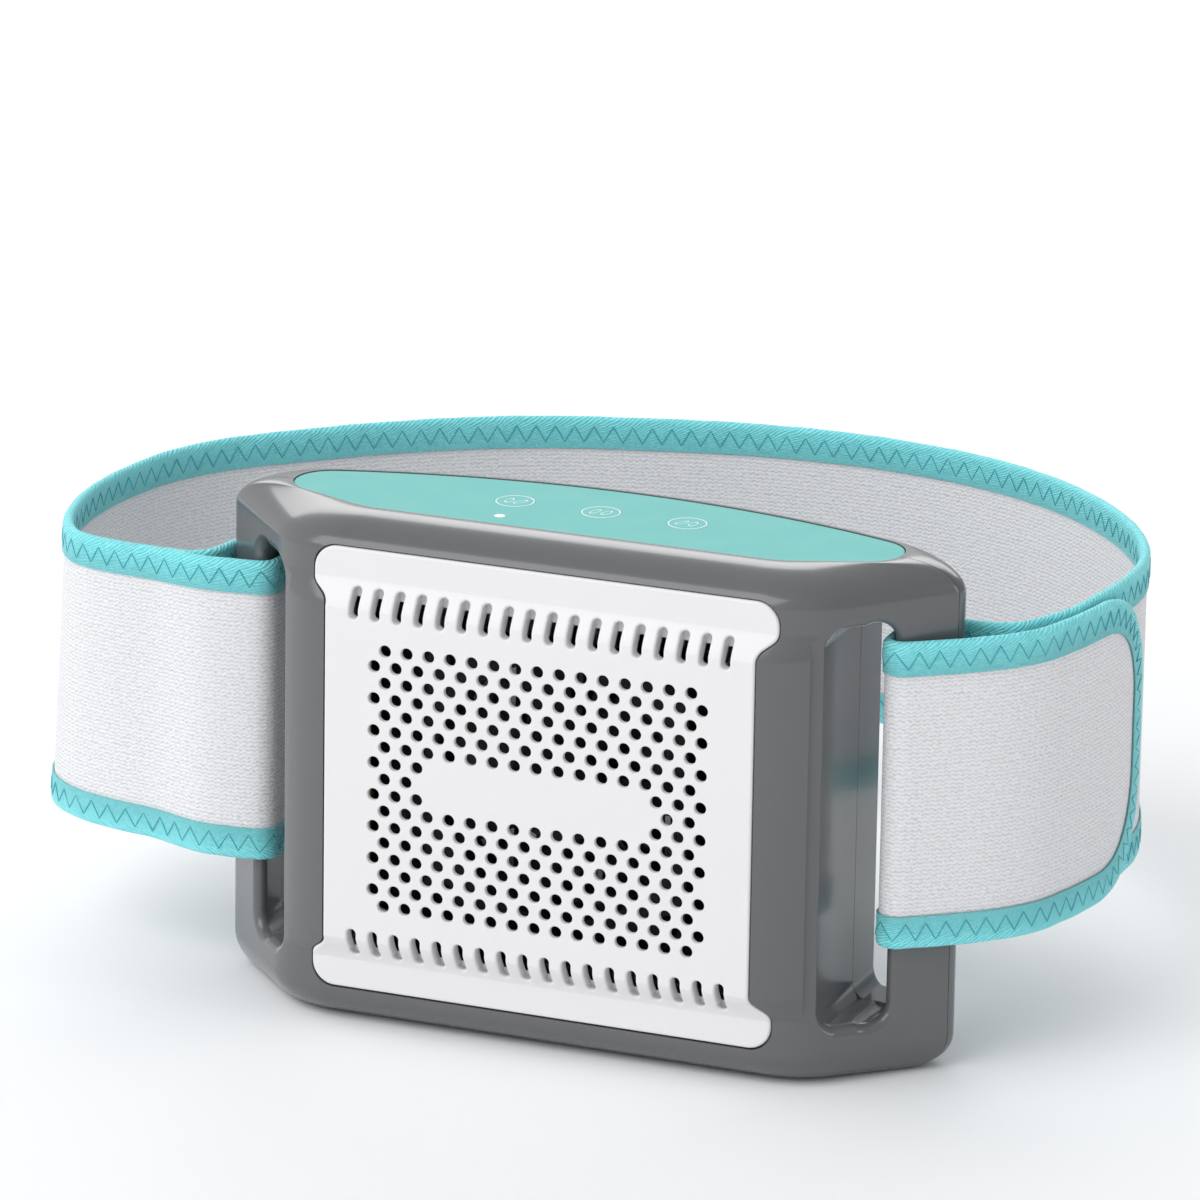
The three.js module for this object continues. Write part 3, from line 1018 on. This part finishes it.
function makeRotor(motorFront) {
  const front = STACK.fanFront + FAN_RUNNING_GAP;
  const rear = STACK.fanRear - FAN_STRUT_DEPTH - FAN_RUNNING_GAP;
  const hubInner = FAN_HUB_RADIUS - FAN_HUB_WALL;
  const shaftRear = rear - FAN_RUNNING_GAP;
  const hub = turned([
    [0, front],
    [FAN_HUB_RADIUS, front],
    [FAN_HUB_RADIUS, rear],
    [hubInner, rear],
    [hubInner, motorFront - FAN_RUNNING_GAP],
    [FAN_SHAFT_RADIUS, motorFront - FAN_RUNNING_GAP],
    [FAN_SHAFT_RADIUS, shaftRear],
    [0, shaftRear],
  ], 0, PLATE_CENTRE_Z, 'y');
  const blades = [];
  const length = BLADE_TIP_RADIUS - FAN_HUB_RADIUS + BLADE_ROOT_SINK;
  for (let blade = 0; blade < BLADE_COUNT; blade += 1) {
    const form = new THREE.BoxGeometry(length, BLADE_THICKNESS, BLADE_CHORD, 2, 1, 1);
    form.rotateX(BLADE_PITCH);
    form.translate(FAN_HUB_RADIUS - BLADE_ROOT_SINK + length / 2, (front + rear) / 2, 0);
    form.rotateY((blade / BLADE_COUNT) * Math.PI * 2);
    form.translate(0, 0, PLATE_CENTRE_Z);
    blades.push(toSolid(form));
  }
  const sweep = rod(BLADE_TIP_RADIUS, 0, PLATE_CENTRE_Z, front, rear, 'y', ROUND_SIDES * 2);
  const core = rod(FAN_HUB_RADIUS - BLADE_ROOT_SINK, 0, PLATE_CENTRE_Z, front - CUT_OVERRUN, rear + CUT_OVERRUN,
    'y', ROUND_SIDES);
  const ring = without(sweep, core);
  place('fan_rotor', joined(hub, joined(...blades).intersect(ring)), BLACK_PLASTIC);
}

// Main board on its guides, with the parts it carries, and the power inlet
function makeElectronics() {
  const face = MAIN_BOARD_X + BOARD_THICKNESS;
  place('main_board', block(MAIN_BOARD_X, face, MAIN_BOARD_FRONT_Y, MAIN_BOARD_REAR_Y, MAIN_BOARD_LOW_Z,
    MAIN_BOARD_HIGH_Z), GREEN_BOARD);
  const onBoard = (profile, z) => {
    const points = profile.map(([radius, height]) => new THREE.Vector2(radius, height));
    const geometry = new THREE.LatheGeometry(points, SMALL_ROUND_SIDES);
    geometry.rotateZ(-Math.PI / 2);
    geometry.translate(face + PART_GAP, PART_Y, z);
    return toSolid(geometry);
  };
  const ring = [[COIL_BORE_RADIUS, 0], [COIL_RADIUS, 0], [COIL_RADIUS, COIL_HEIGHT], [COIL_BORE_RADIUS, COIL_HEIGHT],
    [COIL_BORE_RADIUS, 0]];
  place('power_coil', onBoard(ring, COIL_Z), COPPER_COIL);
  const can = [[0, 0], [CAPACITOR_RADIUS, 0], [CAPACITOR_RADIUS, CAPACITOR_HEIGHT], [0, CAPACITOR_HEIGHT]];
  place('capacitor', onBoard(can, CAPACITOR_Z), BLACK_PLASTIC);
  const half = CHIP_SIZE / 2;
  place('driver_chip', block(face + PART_GAP, face + PART_GAP + CHIP_HEIGHT, PART_Y - half, PART_Y + half,
    CHIP_Z - half, CHIP_Z + half), BLACK_PLASTIC);
  const low = WALL + SEAT_GAP;
  const body = block(INLET_X - INLET_WIDTH / 2, INLET_X + INLET_WIDTH / 2, INLET_Y - INLET_DEPTH / 2,
    INLET_Y + INLET_DEPTH / 2, low, low + INLET_HEIGHT);
  const nose = rod(INLET_NOSE_RADIUS, INLET_X, INLET_Y, INLET_RECESS, low + INLET_HEIGHT / 2, 'z');
  const hole = rod(INLET_BORE_RADIUS, INLET_X, INLET_Y, -CUT_OVERRUN, INLET_BORE_DEPTH, 'z');
  place('power_inlet', without(joined(body, nose), hole), BLACK_PLASTIC);
}

function makeShellScrews() {
  for (const [name, x, z] of SCREW_PLACES) {
    screw(`shell_screw_${name}`, x, z, SHELL_SCREW_SEAT_Y + SEAT_GAP, 'y', 1, SCREW_RADIUS, SCREW_HEAD_RADIUS,
      SCREW_HEAD, SHELL_SCREW_LENGTH);
  }
}

// Strap: one band in plan, round the inner side of each bar and in a wide loop behind the housing
const BAND_HALF = STRAP_THICKNESS / 2 + TAPE_PLAY + TAPE_THICKNESS;
const BAND_OFFSET = BAND_HALF + STRAP_BAR_GAP;
const LAYER_PITCH = 2 * BAND_HALF + LAYER_GAP;
const WRAP_RADIUS = BAR_EDGE_RADIUS + BAND_OFFSET;
const HINGE = new THREE.Vector2(
  BAR_FRONT_MIDDLE.x + WRAP_RADIUS * Math.sin(TAB_ANGLE) + TAB_HINGE_ALONG * Math.cos(TAB_ANGLE),
  BAR_FRONT_MIDDLE.y - WRAP_RADIUS * Math.cos(TAB_ANGLE) + TAB_HINGE_ALONG * Math.sin(TAB_ANGLE),
);

function wrapArc(middle, side, radius, fromDegrees, toDegrees, steps) {
  const points = [];
  for (let step = 0; step <= steps; step += 1) {
    const turn = THREE.MathUtils.degToRad(THREE.MathUtils.lerp(fromDegrees, toDegrees, step / steps));
    points.push(new THREE.Vector2(side * (middle.x + radius * Math.cos(turn)), middle.y + radius * Math.sin(turn)));
  }
  return points;
}

// Loop behind the housing, in shares of its left, right and back reach, from the left bar round to the right bar
const leftLoopShares = [
  [-0.66, -0.077], [-0.755, -0.065], [-0.835, -0.06], [-0.905, -0.04], [-0.95, 0.012], [-0.983, 0.1],
  [-1, 0.21], [-0.995, 0.32], [-0.968, 0.44], [-0.909, 0.545], [-0.81, 0.645], [-0.709, 0.735], [-0.597, 0.815],
  [-0.455, 0.89], [-0.3, 0.94], [-0.12, 0.985],
];
const rightLoopShares = [
  [0.05, 1], [0.21, 0.995], [0.405, 0.965], [0.619, 0.89], [0.811, 0.765], [0.928, 0.64], [0.987, 0.52],
  [0.998, 0.42], [0.985, 0.31], [0.965, 0.215], [0.925, 0.145], [0.885, 0.105],
];
// How far the lower edge stands out at each left point, in shares of the flare
const flareShares = [
  [0, 0.1], [-0.05, 0.55], [-0.35, 0.85], [-0.55, 1], [-0.95, 0.95], [-1, 0.75], [-0.95, 0.45], [-0.8, 0.3],
  [-0.55, 0.15], [-0.25, 0.1],
];

// Sewn end on the left, from behind the loop's outer layer in to the tip of the bar, with its flare last
const sewnEndShares = [[0.273, -0.046, 0.5], [0.155, -0.05, 0.3], [0.073, -0.032, 0.1], [0.045, 0.002, 0]];

function strapRoute() {
  const [tipX, tipY] = tipMiddle(bodySizes(0, 0));
  const tipPath = wrapArc(new THREE.Vector2(tipX, tipY), -1, TIP_RADIUS + BAND_OFFSET, 12, 52, 2);
  const points = [
    ...sewnEndShares.map(([x, y]) => new THREE.Vector2(-BODY_HALF_LENGTH - x * STRAP_LEFT_OVERHANG,
      y * STRAP_BACK_REACH)),
    ...tipPath,
    ...wrapArc(BAR_REAR_MIDDLE, -1, WRAP_RADIUS, THREE.MathUtils.radToDeg(ARCH_ANGLE), 180, 4),
    ...wrapArc(BAR_FRONT_MIDDLE, -1, WRAP_RADIUS, 180, 255, 4),
  ];
  const flares = points.map((point, index) => new THREE.Vector2(0,
    (sewnEndShares[index]?.[2] ?? 0) * STRAP_LOW_EDGE_FLARE));
  leftLoopShares.forEach(([x, y], index) => {
    const [flareX, flareY] = flareShares[index] ?? [0, 0];
    points.push(new THREE.Vector2(x * STRAP_LEFT_REACH, y * STRAP_BACK_REACH));
    flares.push(new THREE.Vector2(flareX * STRAP_LOW_EDGE_FLARE, flareY * STRAP_LOW_EDGE_FLARE));
  });
  const rest = [
    ...rightLoopShares.map(([x, y]) => new THREE.Vector2(x * STRAP_RIGHT_REACH, y * STRAP_BACK_REACH)),
    ...wrapArc(BAR_REAR_MIDDLE, 1, WRAP_RADIUS, 105, 180, 4),
    ...wrapArc(BAR_FRONT_MIDDLE, 1, WRAP_RADIUS, 180, 270 + THREE.MathUtils.radToDeg(TAB_ANGLE), 6),
  ];
  const alongTab = new THREE.Vector2(Math.cos(TAB_ANGLE), Math.sin(TAB_ANGLE));
  rest.push(HINGE.clone().addScaledVector(alongTab, -BAND_HALF - TAB_HINGE_GAP));
  for (const point of rest) {
    points.push(point);
    flares.push(new THREE.Vector2(0, 0));
  }
  return { points, flares };
}

// Stations along a route: place, outward normal and height of the band's middle, for its upper and lower edge
function stations(points, flares, centres, stepLength) {
  const lift = (list) => new THREE.CatmullRomCurve3(list.map((p) => new THREE.Vector3(p.x, p.y, 0)), false,
    'centripetal');
  const upper = lift(points);
  const lower = lift(points.map((p, index) => p.clone().add(flares[index])));
  const found = [];
  for (let index = 0; index < points.length - 1; index += 1) {
    const span = points[index].distanceTo(points[index + 1]);
    const parts = Math.max(1, Math.round(span / stepLength));
    for (let part = 0; part < parts; part += 1) {
      found.push((index + part / parts) / (points.length - 1));
    }
  }
  found.push(1);
  const sides = [upper, lower].map((curve) => found.map((share) => {
    const place2d = curve.getPoint(share);
    const tangent = curve.getTangent(share);
    return { x: place2d.x, y: place2d.y, nx: tangent.y, ny: -tangent.x };
  }));
  return found.map((share, index) => ({
    upper: sides[0][index],
    lower: sides[1][index],
    centre: THREE.MathUtils.lerp(centres[0], centres[1], share),
  }));
}

// A section of offset and height pairs carried along the stations; heights run from -1/2 to +1/2 of the width
function carried(route, section, width) {
  const rings = route.map(({ upper, lower, centre }) => section.map(([offset, height]) => {
    const share = height / width + 1 / 2;
    const x = THREE.MathUtils.lerp(lower.x + lower.nx * offset, upper.x + upper.nx * offset, share);
    const y = THREE.MathUtils.lerp(lower.y + lower.ny * offset, upper.y + upper.ny * offset, share);
    return new THREE.Vector3(x, y, centre + height);
  }));
  return loft(rings, section.map(([offset, height]) => new THREE.Vector2(offset, height)));
}

function tapeSection(side) {
  const outer = BAND_HALF;
  const inner = STRAP_THICKNESS / 2 + TAPE_PLAY;
  const edge = STRAP_WIDTH / 2;
  const low = edge - TAPE_HEIGHT;
  const bridge = edge - TAPE_FOLD;
  const section = [[-outer, low], [-outer, edge], [outer, edge], [outer, low], [inner, low], [inner, bridge],
    [-inner, bridge], [-inner, low]];
  return section.map(([offset, height]) => [offset, side * height]);
}

function webbingSection() {
  const half = STRAP_THICKNESS / 2;
  const edge = STRAP_WIDTH / 2 - TAPE_FOLD - TAPE_PLAY;
  const taped = STRAP_WIDTH / 2 - TAPE_HEIGHT;
  const heights = [-edge, -taped, taped, edge];
  return [...heights.map((height) => [-half, height]), ...heights.reverse().map((height) => [half, height])];
}

function makeStrap() {
  const { points, flares } = strapRoute();
  const stepLength = STRAP_WIDTH / 6;
  const route = stations(points, flares, [STRAP_LEFT_CENTRE_Z, STRAP_RIGHT_CENTRE_Z], stepLength);
  place('strap_webbing', carried(route, webbingSection(), STRAP_WIDTH), WHITE_WEBBING);
  place('strap_upper_binding', carried(route, tapeSection(1), STRAP_WIDTH), TEAL_TAPE);
  place('strap_lower_binding', carried(route, tapeSection(-1), STRAP_WIDTH), TEAL_TAPE);
}

// Free end of the strap, outside the loop: in shares of the right reach and of the back reach
const tabShares = [[0.907, 0.039], [0.962, 0.0975], [0.992, 0.165], [1.013, 0.235], [1.027, 0.315], [1.024, 0.4],
  [1.018, 0.445]];

function makeTab() {
  const alongTab = new THREE.Vector2(Math.cos(TAB_ANGLE), Math.sin(TAB_ANGLE));
  const points = [HINGE.clone(), HINGE.clone().addScaledVector(alongTab, TAB_HINGE_ALONG),
    ...tabShares.map(([x, y]) => new THREE.Vector2(x * STRAP_RIGHT_REACH, y * STRAP_BACK_REACH))];
  const curve = new THREE.CatmullRomCurve3(points.map((p) => new THREE.Vector3(p.x, p.y, 0)), false, 'centripetal');
  const length = curve.getLength();
  const at = (distance) => {
    const share = THREE.MathUtils.clamp(distance / length, 0, 1);
    const tangent = curve.getTangentAt(share);
    const spot = curve.getPointAt(share).addScaledVector(tangent, Math.min(0, distance));
    return { x: spot.x, y: spot.y, nx: tangent.y, ny: -tangent.x };
  };
  const halfHeight = (distance, margin) => {
    const into = Math.max(0, distance - (length - TAB_CORNER_RADIUS));
    const radius = TAB_CORNER_RADIUS - margin;
    const drop = radius - Math.sqrt(Math.max(0, radius * radius - into * into));
    return STRAP_WIDTH / 2 - margin - drop;
  };
  const straight = length - TAB_CORNER_RADIUS;
  const common = [];
  const straightSteps = ROUND_STEPS * 2;
  for (let step = 0; step < straightSteps; step += 1) {
    common.push(THREE.MathUtils.lerp(0, straight, step / straightSteps));
  }
  const roundSteps = ROUND_STEPS + 1;
  for (let step = 0; step <= roundSteps; step += 1) {
    common.push(straight + TAB_CORNER_RADIUS * Math.sin((step / roundSteps) * (Math.PI / 2)));
  }
  const sheet = (margin, low, high, start) => {
    const rings = [];
    const end = length - margin;
    const distances = [start, ...common.filter((distance) => distance > start && distance < end), end];
    for (const distance of distances) {
      const { x, y, nx, ny } = at(distance);
      const half = halfHeight(distance, margin);
      const ring = [[low, -half], [low, half], [high, half], [high, -half]];
      rings.push(ring.map(([offset, height]) => new THREE.Vector3(x + nx * offset, y + ny * offset,
        STRAP_RIGHT_CENTRE_Z + height)));
    }
    const cap = [[low, -1], [low, 1], [high, 1], [high, -1]].map(([x, y]) => new THREE.Vector2(x, y));
    return toSolid(loft(rings, cap));
  };
  const half = STRAP_THICKNESS / 2;
  const inner = half + TAPE_PLAY;
  place('tab_webbing', sheet(TAPE_FOLD + TAPE_PLAY, -half, half, TAPE_PLAY), WHITE_WEBBING);
  const binding = without(
    sheet(0, -BAND_HALF, BAND_HALF, 0),
    sheet(TAPE_FOLD, -inner, inner, -CUT_OVERRUN),
    sheet(TAPE_HEIGHT, -BAND_HALF - CUT_OVERRUN, BAND_HALF + CUT_OVERRUN, -CUT_OVERRUN),
  );
  place('tab_binding', binding, TEAL_TAPE);
  const padInner = -half - HOOK_PAD_GAP;
  place('hook_pad', sheet(HOOK_PAD_MARGIN, padInner - HOOK_PAD_THICKNESS, padInner, length / 3), HOOK_NYLON);
}

const slots = strapSlots();
const space = innerSpace(slots);
const body = bodyForm(0, GRILLE_RISE);
makeFrontShell(body, space, slots);
makeRearShell(body, space, slots);
makeGrille();
makePanel();
makeKeys();
makeLens();
makeControlBoard();
makeStack();
makeFan();
makeElectronics();
makeShellScrews();
makeStrap();
makeTab();

export default product;
